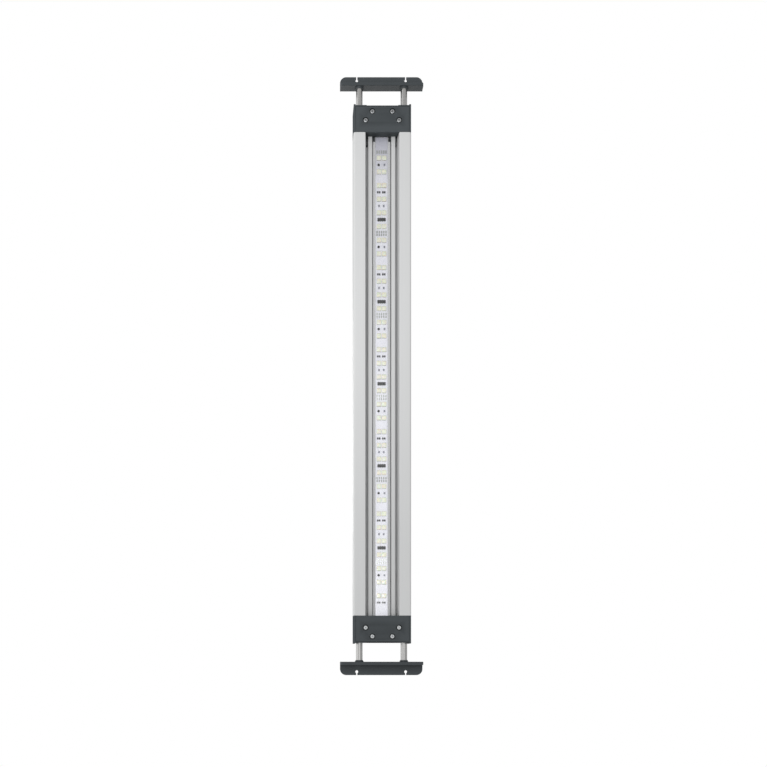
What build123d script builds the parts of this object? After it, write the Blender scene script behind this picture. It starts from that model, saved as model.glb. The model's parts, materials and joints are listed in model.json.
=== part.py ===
from build123d import *
import os

os.makedirs("parts", exist_ok=True)

# LED aquarium light: an extruded luminaire that spans a tank and rests on its rim by two
# sliding rim saddles. Millimetres. +X along the length (right end is +X), +Y across (rear),
# +Z up; the LEDs face -Z. The origin is the centre of the housing's flat top land.
# Suffixes: _in / _out are nearer to / further from the origin, _w and _h are full sizes,
# _half is half a size, _t a thickness, _len a length, _r a radius.

# ------------------------------------------------------------------ driving dimensions
fit = 0.1                   # clearance between mating pieces

# housing extrusion
profile_half = 291.4        # half the housing's length
web_low, web_high = -10.0, -6.6
groove_floor = -8.2         # floor of the groove between each rail and wing
rail_in, rail_out, rail_low = 11.6, 16.5, -14.6
cover_slot_y, cover_slot_z, cover_slot_w = 12.05, -13.4, 1.0    # square slots in the rails
port_y, port_z, port_r = 5.2, -3.75, 1.65                       # screw ports

# end caps
cap_in, cap_out = 291.5, 324.0      # cap box along X
ear_out = 325.0                     # the side walls' ears reach a little further
cap_half, cap_low = 34.6, -24.0
cap_wall = 2.2                      # side wall
inner_half = cap_half - cap_wall    # inner face of the side wall
flange_out = 294.5                  # inner end wall, from cap_in
end_in = 320.0                      # outer end wall, from here to cap_out
panel_depth = 0.6                   # recessed panel on the outer end face
panel_face = cap_out - panel_depth
rebate_out, rebate_top = 322.5, -21.0       # rebate for the cover plate
gasket_x = 292.0                            # floor of the gasket's recess
cover_screw_xy = ((316.6, 12.05), (316.6, -12.05), (306.0, 20.15), (306.0, -20.15))

# guide rods
rod_r, rod_y, rod_z = 4.0, 27.15, -12.0

# rim saddles
gap_right, gap_left = 26.6, 22.1    # from the cap's ears to the saddle's inner face, at rest
saddle_x = ear_out + gap_right      # inner face of the right saddle's wall
rod_out = saddle_x + 1.95           # rod's outer end, in its socket
rod_in = 211.5                      # rod's inner end

# LED board
board_half, board_len_half = 7.4, 299.0
tape_t, board_t = 0.2, 1.6
board_face = web_low - tape_t - board_t


# ------------------------------------------------------------------ helpers
def near(value, target):
    return abs(value - target) < 0.01


def pair(y, z):
    """A point and its mirror image across the lengthwise centre plane."""
    return (y, z), (-y, z)


port_centres = pair(port_y, port_z)
rod_centres = pair(rod_y, rod_z)


def facing_x(x, centres):
    """Locations at x for each (y, z) centre, with their axis along +X."""
    return [Location((x, y, z), (0, 90, 0)) for y, z in centres]


def circles(centres, radius, mode=Mode.ADD):
    with Locations(*centres):
        Circle(radius, mode=mode)


def rect_pair(y_in, y_out, z_low, z_high, mode=Mode.ADD):
    """A rectangle given by its limits, on both sides of the centre plane."""
    with Locations(*pair((y_in + y_out) / 2, (z_low + z_high) / 2)):
        Rectangle(y_out - y_in, z_high - z_low, mode=mode)


def cross(length, width):
    """Outline of a cross recess at the current locations."""
    Rectangle(length, width)
    Rectangle(width, length)


def mirrored(part, plane=Plane.YZ):
    with BuildPart() as twin:
        mirror(part, about=plane)
    return twin.part


def save(part, name):
    part.label = name
    export_step(part, f"parts/{name}.step")


# ------------------------------------------------------------------ housing
wing_outer = 34.8           # outer side of each wing
wing_bottom = -23.8         # underside of the wings
wing_inner_low = 20.6       # wing's inner wall at the underside
wing_inner_high = 18.5      # wing's inner wall at the groove floor
wing_inner_top = 20.4       # wing's inner wall above the web
wing_edge_r = 2.2           # rounding along the wings' outer edges
wing_foot_r = 0.5           # rounding at the inner foot of each wing
cavity_in, cavity_out = 22.1, 33.3
cavity_low, cavity_high = -22.3, -1.5
cavity_r = 1.0
web_half = 19.8
web_overlap = 0.2           # rails and ledges run this far into the web
ledge_in, ledge_low = 7.55, -12.0           # ledge on each side of the board
relief_in, relief_floor = 10.5, -8.6        # narrow relief at the inner foot of each rail
rail_edge_r = 0.4
spine_half, spine_edge_r = 8.2, 0.4         # flat land on top, holds the two screw ports
spine_bore_w, spine_bore_h, spine_bore_z, spine_bore_r = 4.0, 4.6, -3.9, 0.6
fin_ys = (11.2, 14.2, 17.2)
fin_w, fin_top, fin_edge_r = 1.2, -0.6, 0.35


def housing_profile():
    with BuildPart() as housing:
        with BuildSketch(Plane.YZ.offset(-profile_half)) as section:
            # wings
            for side in (1, -1):
                with BuildLine():
                    Polyline(
                        (side * wing_inner_low, wing_bottom), (side * wing_outer, wing_bottom),
                        (side * wing_outer, 0), (side * wing_inner_top, 0),
                        (side * wing_inner_top, web_high), (side * wing_inner_high, web_high),
                        (side * wing_inner_high, groove_floor), close=True)
                make_face()
            fillet(section.vertices().filter_by(lambda v: near(abs(v.X), wing_outer)), wing_edge_r)
            fillet(section.vertices().filter_by(
                lambda v: near(abs(v.X), wing_inner_low) and v.Y < -20), wing_foot_r)
            # web with rails and ledges below it
            with Locations((0, (web_low + web_high) / 2)):
                Rectangle(2 * web_half, web_high - web_low)
            rect_pair(rail_in, rail_out, rail_low, web_low + web_overlap)
            rect_pair(ledge_in, relief_in, ledge_low, web_low + web_overlap)
            fillet(section.vertices().filter_by(lambda v: near(v.Y, rail_low)), rail_edge_r)
            # spine and fins on top of the web
            with Locations((0, web_high / 2)):
                Rectangle(2 * spine_half, -web_high)
            fillet(section.vertices().filter_by(
                lambda v: near(abs(v.X), spine_half) and near(v.Y, 0)), spine_edge_r)
            for y in fin_ys:
                rect_pair(y - fin_w / 2, y + fin_w / 2, web_high, fin_top)
            fillet(section.vertices().filter_by(lambda v: near(v.Y, fin_top)), fin_edge_r)
            # hollow wings, screw ports, hollow spine, slots for the clear cover
            with Locations(*pair((cavity_in + cavity_out) / 2, (cavity_low + cavity_high) / 2)):
                RectangleRounded(cavity_out - cavity_in, cavity_high - cavity_low, cavity_r,
                                 mode=Mode.SUBTRACT)
            circles(port_centres, port_r, mode=Mode.SUBTRACT)
            with Locations((0, spine_bore_z)):
                RectangleRounded(spine_bore_w, spine_bore_h, spine_bore_r, mode=Mode.SUBTRACT)
            with Locations(*pair(cover_slot_y, cover_slot_z)):
                Rectangle(cover_slot_w, cover_slot_w, mode=Mode.SUBTRACT)
            # grooves beside the wings, reliefs beside the rails
            rect_pair(rail_out, wing_inner_high, web_low, groove_floor, mode=Mode.SUBTRACT)
            rect_pair(relief_in, rail_in, web_low, relief_floor, mode=Mode.SUBTRACT)
        extrude(amount=2 * profile_half)
    return housing.part


# ------------------------------------------------------------------ end caps
cap_edge_r = 0.5
panel_half, panel_h, panel_z = 19.0, 21.2, -13.5
pocket_top = -2.5
post_r, post_hole_r, post_hole_depth = 2.8, 1.5, 11.0
tube_r = 2.5
bush_seat_r = 4.6
countersink_r, countersink_len = 3.05, 1.4
# gasket recess: a rounded rectangle with a notch left standing at its lower middle
recess_half, recess_h, recess_z, recess_r = 33.05, 20.2, -10.85, 1.5
notch_half, notch_h, notch_z = 20.0, 6.8, -18.0
# window for the board's end
window_w, window_h, window_z = 15.8, 3.8, -11.2


def cap_base():
    """Right cap without its inlet hole and tongues."""
    with BuildPart() as cap:
        with BuildSketch(Plane.YZ.offset(cap_in)):
            with Locations((0, cap_low / 2)):
                Rectangle(2 * cap_half, -cap_low)
        extrude(amount=cap_out - cap_in)
        with BuildSketch(Plane.YZ.offset(cap_out)):
            rect_pair(inner_half, cap_half, cap_low, 0)
        extrude(amount=ear_out - cap_out)
        fillet(cap.edges().filter_by(Axis.X).filter_by(
            lambda e: near(abs(e.center().Y), cap_half)), cap_edge_r)
        # rebate for the cover plate, then the pocket behind it
        with BuildSketch(Plane.XY.offset(cap_low)):
            with Locations(((cap_in + rebate_out) / 2, 0)):
                Rectangle(rebate_out - cap_in, 2 * inner_half)
        extrude(amount=rebate_top - cap_low, mode=Mode.SUBTRACT)
        with BuildSketch(Plane.XY.offset(rebate_top)):
            with Locations(((flange_out + end_in) / 2, 0)):
                Rectangle(end_in - flange_out, 2 * inner_half)
        extrude(amount=pocket_top - rebate_top, mode=Mode.SUBTRACT)
        # posts for the cover screws
        with BuildSketch(Plane.XY.offset(rebate_top)):
            circles(cover_screw_xy, post_r)
        extrude(amount=pocket_top - rebate_top + 0.5)
        with BuildSketch(Plane.XY.offset(rebate_top)):
            circles(cover_screw_xy, post_hole_r)
        extrude(amount=post_hole_depth, mode=Mode.SUBTRACT)
        # tubes for the long fixing screws
        with BuildSketch(Plane.YZ.offset(flange_out - 0.5)):
            circles(port_centres, tube_r)
        extrude(amount=end_in - flange_out + 1.0)
        # shallow recess for the gasket on the inner face
        with BuildSketch(Plane.YZ.offset(cap_in)):
            with Locations((0, recess_z)):
                RectangleRounded(2 * recess_half, recess_h, recess_r)
            with Locations((0, notch_z)):
                Rectangle(2 * notch_half, notch_h, mode=Mode.SUBTRACT)
        extrude(amount=gasket_x - cap_in, mode=Mode.SUBTRACT)
        # recessed panel on the outer end face
        with BuildSketch(Plane.YZ.offset(cap_out)):
            with Locations((0, panel_z)):
                Rectangle(2 * panel_half, panel_h)
        extrude(amount=-panel_depth, mode=Mode.SUBTRACT)
        # rod bush seats through both end walls
        for wall_in, wall_out in ((cap_in, flange_out), (end_in, cap_out)):
            with BuildSketch(Plane.YZ.offset(wall_in - 1)):
                circles(rod_centres, bush_seat_r)
            extrude(amount=wall_out - wall_in + 2, mode=Mode.SUBTRACT)
        # long screw holes with countersinks in the panel
        with BuildSketch(Plane.YZ.offset(cap_in - 1)):
            circles(port_centres, port_r)
        extrude(amount=cap_out - cap_in + 2, mode=Mode.SUBTRACT)
        with Locations(*facing_x(panel_face - countersink_len / 2, port_centres)):
            Cone(port_r, countersink_r, countersink_len, mode=Mode.SUBTRACT)
        # board window through the inner end wall
        with BuildSketch(Plane.YZ.offset(cap_in - 0.5)):
            with Locations((0, window_z)):
                Rectangle(window_w, window_h)
        extrude(amount=flange_out - cap_in + 1.0, mode=Mode.SUBTRACT)
    return cap.part


inlet_z, inlet_r = -12.0, 5.5
inlet_hole_r = inlet_r + fit
tongue_root = gasket_x + 0.4
# flat tongues beside the board
flat_tongue_y, flat_tongue_z = 9.75, -12.5
flat_tongue_w, flat_tongue_h, flat_tongue_tip = 3.4, 0.85, cap_in - 5.0
# tapered tongues along the groove floors, each with a thin strip and a nub at its tip
tongue_top = groove_floor - 0.05
taper_low, strip_low, nub_low = -12.4, -9.6, -12.0
# plan outline of a tapered tongue: x, y
taper_outline = (
    (tongue_root, 16.7), (tongue_root, 18.35), (290.0, 18.35),
    (287.2, 18.0), (287.2, 17.1), (290.0, 16.7),
)


def end_cap_right(base):
    with BuildPart() as cap:
        add(base)
        with BuildSketch(Plane.YZ.offset(end_in - 1)):
            circles([(0, inlet_z)], inlet_hole_r)
        extrude(amount=cap_out - end_in + 2, mode=Mode.SUBTRACT)
        with BuildSketch(Plane.YZ.offset(tongue_root)):
            with Locations(*pair(flat_tongue_y, flat_tongue_z)):
                Rectangle(flat_tongue_w, flat_tongue_h)
        extrude(amount=flat_tongue_tip - tongue_root)
        for side in (1, -1):
            with BuildSketch(Plane.XY.offset(taper_low)):
                with BuildLine():
                    Polyline(*[(x, side * y) for x, y in taper_outline], close=True)
                make_face()
            extrude(amount=tongue_top - taper_low)
            with BuildSketch(Plane.XY.offset(strip_low)):
                with Locations((286.0, side * 18.1)):
                    Rectangle(5.0, 0.6)
            extrude(amount=tongue_top - strip_low)
            with BuildSketch(Plane.XY.offset(nub_low)):
                with Locations((283.6, side * 17.53)):
                    RectangleRounded(3.2, 1.65, 0.5)
            extrude(amount=tongue_top - nub_low)
    return cap.part


# ------------------------------------------------------------------ cap fittings, right end
plate_top = rebate_top - 0.05
plate_out = rebate_out - 0.1
plate_chamfer = 0.25


def cap_cover():
    """Cover plate on the cap's underside."""
    with BuildPart() as plate:
        with BuildSketch(Plane.XY.offset(cap_low)):
            with Locations(((cap_in + plate_out) / 2, 0)):
                Rectangle(plate_out - cap_in, 2 * inner_half - 0.2)
        extrude(amount=plate_top - cap_low)
        chamfer(plate.faces().sort_by(Axis.Z)[0].edges(), plate_chamfer)
        for x, y in cover_screw_xy:
            with Locations(Plane(origin=(x, y, cap_low), z_dir=(0, 0, -1))):
                CounterBoreHole(radius=1.7, counter_bore_radius=3.4, counter_bore_depth=2.0)
    return plate.part


pan_head_r, pan_head_t, pan_edge_r = 2.7, 1.8, 0.8
pan_shank_r, pan_shank_len = 1.45, 11.0


def cap_cover_screws():
    """Pan-head cover screws, heads sunk in the counterbores."""
    with BuildPart() as screws:
        with BuildSketch(Plane.XY.offset(cap_low + 0.15)):
            circles(cover_screw_xy, pan_head_r)
        extrude(amount=pan_head_t)
        fillet(screws.edges().group_by(Axis.Z)[0], pan_edge_r)
        with BuildSketch(Plane.XY.offset(cap_low + 1.9)):
            circles(cover_screw_xy, pan_shank_r)
        extrude(amount=pan_shank_len)
        for x, y in cover_screw_xy:
            turn = 20 + 3 * x % 60      # degrees, so the recesses don't all line up
            with BuildSketch(Plane.XY.offset(cap_low + 0.1)):
                with Locations(Location((x, y, 0), (0, 0, turn))):
                    cross(2.9, 0.75)
            extrude(amount=1.1, mode=Mode.SUBTRACT)
    return screws.part


gasket_t = 0.52
gasket_rod_hole_r = 5.0


def cap_gasket():
    """Gasket in the recess between cap and housing."""
    with BuildPart() as gasket:
        with BuildSketch(Plane.YZ.offset(profile_half + 0.04)):
            with Locations((0, recess_z)):
                RectangleRounded(2 * recess_half - fit, recess_h - fit, recess_r)
            with Locations((0, notch_z)):
                Rectangle(2 * notch_half + fit, notch_h + fit, mode=Mode.SUBTRACT)
            circles(rod_centres, gasket_rod_hole_r, mode=Mode.SUBTRACT)
            circles(port_centres, port_r + fit, mode=Mode.SUBTRACT)
            with Locations((0, window_z)):
                Rectangle(window_w + fit, window_h + fit, mode=Mode.SUBTRACT)
            # openings for the tapered and the flat tongues
            with Locations(*pair(17.9, -10.3)):
                Rectangle(2.6, 4.4, mode=Mode.SUBTRACT)
            with Locations(*pair(flat_tongue_y, flat_tongue_z)):
                Rectangle(flat_tongue_w + 2 * fit, flat_tongue_h + 2 * fit, mode=Mode.SUBTRACT)
        extrude(amount=gasket_t)
    return gasket.part


fixing_tip = 276.0
fixing_r, fixing_head_r, fixing_head_len = 1.5, 2.8, 1.3
fixing_face = panel_face - 0.1


def cap_fixing_screws():
    """Long countersunk screws from the end face into the housing's screw ports."""
    with BuildPart() as screws:
        with BuildSketch(Plane.YZ.offset(fixing_tip)):
            circles(port_centres, fixing_r)
        extrude(amount=fixing_face - fixing_head_len - fixing_tip + 0.2)
        with Locations(*facing_x(fixing_face - fixing_head_len / 2, port_centres)):
            Cone(fixing_r, fixing_head_r, fixing_head_len)
        for side in (1, -1):
            turn = 15 + 25 * side       # degrees
            with BuildSketch(Plane.YZ.offset(fixing_face)):
                with Locations(Location((side * port_y, port_z, 0), (0, 0, turn))):
                    cross(2.8, 0.7)
            extrude(amount=-0.8, mode=Mode.SUBTRACT)
    return screws.part


bush_bore_r, bush_body_r, bush_flange_r = 4.05, 4.57, 5.6
bush_flange_t = 1.2
bush_lift = 0.02            # gap between a bush's flange and the end wall
bush_flat_y = 31.7          # flat on the flange, facing the cap's side wall


def rod_bushes():
    """Flanged plain bushes: a pair in each end wall of the cap, flanges in the pocket."""
    # start and end of each body along X, start of its flange
    stations = (
        (gasket_x + 0.1, flange_out + bush_lift, flange_out + bush_lift),
        (end_in - bush_lift, cap_out - 0.2, end_in - bush_lift - bush_flange_t),
    )
    with BuildPart() as bushes:
        for body_in, body_out, flange_in in stations:
            with BuildSketch(Plane.YZ.offset(body_in)):
                circles(rod_centres, bush_body_r)
            extrude(amount=body_out - body_in)
            with BuildSketch(Plane.YZ.offset(flange_in)):
                circles(rod_centres, bush_flange_r)
                rect_pair(bush_flat_y, bush_flat_y + 4.0, rod_z - 7.0, rod_z + 7.0,
                          mode=Mode.SUBTRACT)
            extrude(amount=bush_flange_t)
        with BuildSketch(Plane.YZ.offset(gasket_x - 2)):
            circles(rod_centres, bush_bore_r)
        extrude(amount=cap_out - gasket_x + 4, mode=Mode.SUBTRACT)
    return bushes.part


grommet_slot_h, grommet_slot_z = 2.0, -11.15


def board_grommet():
    """Grommet around the board in the cap's window."""
    with BuildPart() as grommet:
        with BuildSketch(Plane.YZ.offset(gasket_x + 0.1)):
            with Locations((0, window_z)):
                Rectangle(window_w - fit, window_h - fit)
            with Locations((0, grommet_slot_z)):
                Rectangle(2 * board_half + fit, grommet_slot_h, mode=Mode.SUBTRACT)
        extrude(amount=flange_out - gasket_x - 0.1)
    return grommet.part


# ------------------------------------------------------------------ LED board
# The board carries five and a half repeats of one layout, from strip_start towards -X.
# Offsets are distances along the board from the start of each repeat.
repeat_len = 100.0
strip_start = 275.0
led_offsets = (8.333, 25.0, 41.667, 58.333, 75.0, 91.667)
led_y, led_w, led_h = 3.15, 5.4, 1.0
fill_w, fill_r = 4.9, 0.9   # phosphor-filled recess in each package
seat_gap = 0.01             # between the board's face and the pieces on it


def repeat_points(offset, ys):
    """Points at one offset in every repeat; the last repeat has only its first half."""
    count = 6 if offset <= repeat_len / 2 else 5
    return [(strip_start - repeat_len * k - offset, y) for k in range(count) for y in ys]


led_points = [point for offset in led_offsets for point in repeat_points(offset, (led_y, -led_y))]
chip_points = repeat_points(83.333, (0.0,))


def thermal_tape():
    with BuildPart() as tape:
        with BuildSketch(Plane.XY.offset(web_low - tape_t + 0.01)):
            Rectangle(2 * (profile_half - 1.0), 2 * board_half - 0.4)
        extrude(amount=tape_t - 0.02)
    return tape.part


def led_board():
    with BuildPart() as board:
        with BuildSketch(Plane.XY.offset(board_face)):
            RectangleRounded(2 * board_len_half, 2 * board_half, 0.8)
        extrude(amount=board_t)
    return board.part


def led_packages():
    with BuildPart() as packages:
        with BuildSketch(Plane.XY.offset(board_face - led_h)):
            with Locations(*led_points):
                RectangleRounded(led_w, led_w, 0.3)
        extrude(amount=led_h - seat_gap)
        with BuildSketch(Plane.XY.offset(board_face - led_h)):
            with Locations(*led_points):
                RectangleRounded(fill_w, fill_w, fill_r)
        extrude(amount=0.5, mode=Mode.SUBTRACT)
    return packages.part


def led_phosphors():
    with BuildPart() as phosphors:
        with BuildSketch(Plane.XY.offset(board_face - led_h + 0.06)):
            with Locations(*led_points):
                RectangleRounded(fill_w - 0.06, fill_w - 0.06, fill_r - 0.03)
        extrude(amount=0.42)
    return phosphors.part


def driver_chips():
    """Moulded bodies of the driver chips."""
    with BuildPart() as chips:
        with BuildSketch(Plane.XY.offset(board_face - 1.05)):
            with Locations(*chip_points):
                RectangleRounded(3.6, 10.0, 0.2)
        extrude(amount=0.95)
        chamfer(chips.edges().group_by(Axis.Z)[0], 0.15)
    return chips.part


def driver_leads():
    """Block-shaped leads along both long sides of each chip."""
    lead_points = [(x + dx, y) for x, _ in chip_points
                   for dx in (2.15, -2.15) for y in (-3.6, -1.2, 1.2, 3.6)]
    with BuildPart() as leads:
        with BuildSketch(Plane.XY.offset(board_face - 0.45)):
            with Locations(*lead_points):
                Rectangle(0.66, 0.8)
        extrude(amount=0.45 - seat_gap)
    return leads.part


def chip_components(points, height, edge_chamfer):
    """Small rectangular components with chamfered lower edges."""
    with BuildPart() as components:
        with BuildSketch(Plane.XY.offset(board_face - height)):
            with Locations(*points):
                Rectangle(2.5, 1.9)
        extrude(amount=height - seat_gap)
        chamfer(components.edges().group_by(Axis.Z)[0], edge_chamfer)
    return components.part


def resistors():
    points = repeat_points(50.0, (-4.65, -2.35, 1.55, 3.85))
    return chip_components(points, height=0.55, edge_chamfer=0.08)


def capacitors():
    points = repeat_points(66.667, (-3.1, 2.6)) + repeat_points(16.667, (3.5,))
    return chip_components(points, height=0.7, edge_chamfer=0.1)


def diodes():
    with BuildPart() as discs:
        with BuildSketch(Plane.XY.offset(board_face - 1.0)):
            circles(repeat_points(16.667, (-3.6,)), 1.4)
        extrude(amount=1.0 - seat_gap)
        chamfer(discs.edges().group_by(Axis.Z)[0], 0.15)
    return discs.part


def solder_pads():
    """Tinned joint pads at each cut line between repeats, longer ones at the start."""
    pad_ys = (-5.4, -2.7, 0.0, 2.7, 5.4)
    start_pads = [(strip_start - 0.9, y) for y in pad_ys]
    joint_pads = [(strip_start - repeat_len * k + dx, y)
                  for k in range(1, 6) for dx in (1.75, -1.75) for y in pad_ys]
    with BuildPart() as pads:
        with BuildSketch(Plane.XY.offset(board_face - 0.12)):
            with Locations(*joint_pads):
                RectangleRounded(3.1, 1.9, 0.35)
            with Locations(*start_pads):
                RectangleRounded(4.0, 1.9, 0.35)
        extrude(amount=0.12 - seat_gap)
    return pads.part


def led_cover():
    """Clear cover strip, its thinner edges held in the rails' slots."""
    with BuildPart() as cover:
        with BuildSketch(Plane.YZ.offset(-profile_half + 0.1)):
            with Locations((0, -13.6)):
                Rectangle(2 * (rail_in - fit), 1.2)
            with Locations((0, cover_slot_z)):
                Rectangle(2 * (cover_slot_y + cover_slot_w / 2 - fit), cover_slot_w - 2 * fit)
        extrude(amount=2 * profile_half - 0.2)
    return cover.part


# ------------------------------------------------------------------ supply, right cap
inlet_centre = [(0, inlet_z)]
contact_y = 1.8
contact_centres = pair(contact_y, inlet_z)
socket_in, socket_out = 309.0, 324.8
socket_flange_r, socket_flange_t = 6.7, 1.0
socket_step = 318.8         # where the wide inner bore meets the narrower outer one
wire_r, wire_y = 0.8, 3.4   # wire_y: where the wires leave the board


def inlet_socket():
    with BuildPart() as socket:
        with BuildSketch(Plane.YZ.offset(socket_in)):
            circles(inlet_centre, inlet_r)
        extrude(amount=socket_out - socket_in)
        with BuildSketch(Plane.YZ.offset(socket_out - socket_flange_t)):
            circles(inlet_centre, socket_flange_r)
        extrude(amount=socket_flange_t)
        fillet(socket.edges().filter_by(GeomType.CIRCLE).filter_by(
            lambda e: near(e.radius, socket_flange_r) and e.center().X > socket_out - 0.3), 0.4)
        with BuildSketch(Plane.YZ.offset(socket_step)):
            circles(inlet_centre, 4.1)
        extrude(amount=7.0, mode=Mode.SUBTRACT)
        with BuildSketch(Plane.YZ.offset(socket_in - 1.0)):
            circles(inlet_centre, 4.6)
        extrude(amount=socket_step - socket_in + 1.0, mode=Mode.SUBTRACT)
    return socket.part


def inlet_insert():
    with BuildPart() as insert:
        with BuildSketch(Plane.YZ.offset(311.0)):
            circles(inlet_centre, 4.55)
            circles(contact_centres, 0.9, mode=Mode.SUBTRACT)
        extrude(amount=7.75)
    return insert.part


def inlet_contacts():
    """Two pins, bored from their outer ends."""
    with BuildPart() as contacts:
        with BuildSketch(Plane.YZ.offset(309.4)):
            circles(contact_centres, 0.86)
        extrude(amount=9.2)
        with BuildSketch(Plane.YZ.offset(312.0)):
            circles(contact_centres, 0.5)
        extrude(amount=7.0, mode=Mode.SUBTRACT)
    return contacts.part


def inlet_nut():
    with BuildPart() as nut:
        with BuildSketch(Plane.YZ.offset(317.2)):
            with Locations(Location((0, inlet_z, 0), (0, 0, 90))):
                RegularPolygon(radius=6.9, side_count=6, major_radius=False)
                Circle(inlet_r + 0.05, mode=Mode.SUBTRACT)
        extrude(amount=2.75)
    return nut.part


def inlet_seal():
    with BuildPart() as seal:
        with BuildSketch(Plane.YZ.offset(panel_face + 0.01)):
            circles(inlet_centre, 6.6)
            circles(inlet_centre, inlet_hole_r, mode=Mode.SUBTRACT)
        extrude(amount=0.37)
    return seal.part


def supply_wire(side):
    """Wire from the board's end to an inlet contact; side is +1 or -1 along Y."""
    with BuildPart() as wire:
        with BuildLine() as path:
            Spline((297.3, side * wire_y, -12.75), (300.5, side * wire_y, -12.95),
                   (304.5, side * 2.4, -12.6), (309.2, side * contact_y, inlet_z),
                   tangents=((1, 0, 0), (1, 0, 0)))
        with BuildSketch(Plane(origin=path.line @ 0, z_dir=path.line % 0)):
            Circle(wire_r)
        sweep()
    return wire.part


def solder_joints():
    """Tapered solder mounds under the board at the wires' ends."""
    with BuildPart() as joints:
        for side in (1, -1):
            with BuildSketch(Plane.XY.offset(board_face - 0.02)):
                with Locations((296.0, side * wire_y)):
                    RectangleRounded(2.4, 2.2, 0.6)
            extrude(amount=-1.3, taper=18)
    return joints.part


# ------------------------------------------------------------------ rim bracket, right end
saddle_half = 50.4
saddle_wall = 4.0
saddle_depth = 16.4
saddle_low, saddle_seat, saddle_top = -18.0, -8.0, -6.0
saddle_plan_r, saddle_wall_r = 7.5, 2.5
wall_chamfer, plate_edge_chamfer = 0.35, 0.3
hub_tip_r, hub_base_r, hub_len = 4.5, 5.4, 2.0
socket_depth = 2.0                          # rod socket, into the saddle's wall
sink_r_in, sink_r_out, sink_len = 1.75, 3.75, 2.0
key_y, key_r, key_slit = 29.9, 1.8, 1.5
key_edge = 4.1                              # keyhole centre to the plate's outer edge
saddle_out = saddle_x + saddle_depth


def rim_saddle():
    with BuildPart() as saddle:
        # inner wall
        with BuildSketch(Plane.YZ.offset(saddle_x)) as wall:
            with Locations((0, (saddle_low + saddle_top) / 2)):
                Rectangle(2 * saddle_half, saddle_top - saddle_low)
            fillet(wall.vertices().group_by(Axis.Y)[0], saddle_wall_r)
        extrude(amount=saddle_wall)
        # edges of both wall faces, except along the top
        chamfer(saddle.edges().filter_by(
            lambda e: near(abs(e.center().X - saddle_x - saddle_wall / 2), saddle_wall / 2)
            and e.center().Z < saddle_top - 0.5), wall_chamfer)
        # rim plate
        with BuildSketch(Plane.XY.offset(saddle_seat)) as plate:
            with Locations((saddle_x + saddle_depth / 2, 0)):
                Rectangle(saddle_depth, 2 * saddle_half)
            fillet(plate.vertices().group_by(Axis.X)[-1], saddle_plan_r)
        extrude(amount=saddle_top - saddle_seat)
        chamfer(saddle.faces().sort_by(Axis.Z)[-1].edges(), plate_edge_chamfer)
        # flared hubs for the rods, with rod sockets and countersinks
        with Locations(*facing_x(saddle_x - hub_len / 2, rod_centres)):
            Cone(hub_tip_r, hub_base_r, hub_len)
        with BuildSketch(Plane.YZ.offset(saddle_x - hub_len - 0.5)):
            circles(rod_centres, rod_r + 0.03)
        extrude(amount=hub_len + 0.5 + socket_depth, mode=Mode.SUBTRACT)
        with Locations(*facing_x(saddle_x + saddle_wall - sink_len / 2, rod_centres)):
            Cone(sink_r_in, sink_r_out, sink_len, mode=Mode.SUBTRACT)
        # open keyholes at the plate's outer edge
        with BuildSketch(Plane.XY.offset(saddle_seat - 1)):
            for side in (1, -1):
                with Locations((saddle_out - key_edge, side * key_y)):
                    Circle(key_r)
                with Locations((saddle_out - key_edge / 2 + 0.5, side * key_y)):
                    Rectangle(key_edge + 1.0, key_slit)
        extrude(amount=saddle_top - saddle_seat + 2, mode=Mode.SUBTRACT)
    return saddle.part


def guide_rod():
    """Rear rod, bored at both ends for its screws."""
    centre = [(rod_y, rod_z)]
    with BuildPart() as rod:
        with BuildSketch(Plane.YZ.offset(rod_in)):
            circles(centre, rod_r)
        extrude(amount=rod_out - rod_in)
        chamfer(rod.edges().filter_by(GeomType.CIRCLE), 0.4)
        with BuildSketch(Plane.YZ.offset(rod_out)):
            circles(centre, 1.7)
        extrude(amount=-14.0, mode=Mode.SUBTRACT)
        with BuildSketch(Plane.YZ.offset(rod_in)):
            circles(centre, 1.3)
        extrude(amount=12.0, mode=Mode.SUBTRACT)
    return rod.part


rod_screw_r, rod_screw_head_r, rod_screw_head_len = 1.65, 3.55, 1.9
rod_screw_reach = 8.0                       # from the saddle's inner face to the tip
rod_screw_face = saddle_x + 3.9


def rod_screws():
    """Countersunk hex-socket screws through the saddle's wall into the rods."""
    with BuildPart() as screws:
        with BuildSketch(Plane.YZ.offset(saddle_x - rod_screw_reach)):
            circles(rod_centres, rod_screw_r)
        extrude(amount=rod_screw_reach + 2.2)
        with Locations(*facing_x(rod_screw_face - rod_screw_head_len / 2, rod_centres)):
            Cone(rod_screw_r, rod_screw_head_r, rod_screw_head_len)
        for side in (1, -1):
            with BuildSketch(Plane.YZ.offset(rod_screw_face)):
                with Locations(Location((side * rod_y, rod_z, 0), (0, 0, 30 * side))):
                    RegularPolygon(radius=1.25, side_count=6)
            extrude(amount=-1.4, mode=Mode.SUBTRACT)
    return screws.part


stop_out, stop_in = 217.5, 209.5
stop_r = 4.9


def rod_stops():
    """Glide stops: cups on the rods' inner ends, each with a screw hole."""
    with BuildPart() as stops:
        with BuildSketch(Plane.YZ.offset(stop_in)):
            circles(rod_centres, stop_r)
        extrude(amount=stop_out - stop_in)
        chamfer(stops.edges().filter_by(GeomType.CIRCLE), 0.5)
        with BuildSketch(Plane.YZ.offset(rod_in - 0.03)):
            circles(rod_centres, rod_r + 0.02)
        extrude(amount=stop_out - rod_in + 1, mode=Mode.SUBTRACT)
        with BuildSketch(Plane.YZ.offset(stop_in - 1)):
            circles(rod_centres, 1.5)
        extrude(amount=4, mode=Mode.SUBTRACT)
    return stops.part


stop_screw_seat = stop_in - 0.03            # underside of the head
stop_screw_head_t = 1.8


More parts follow.
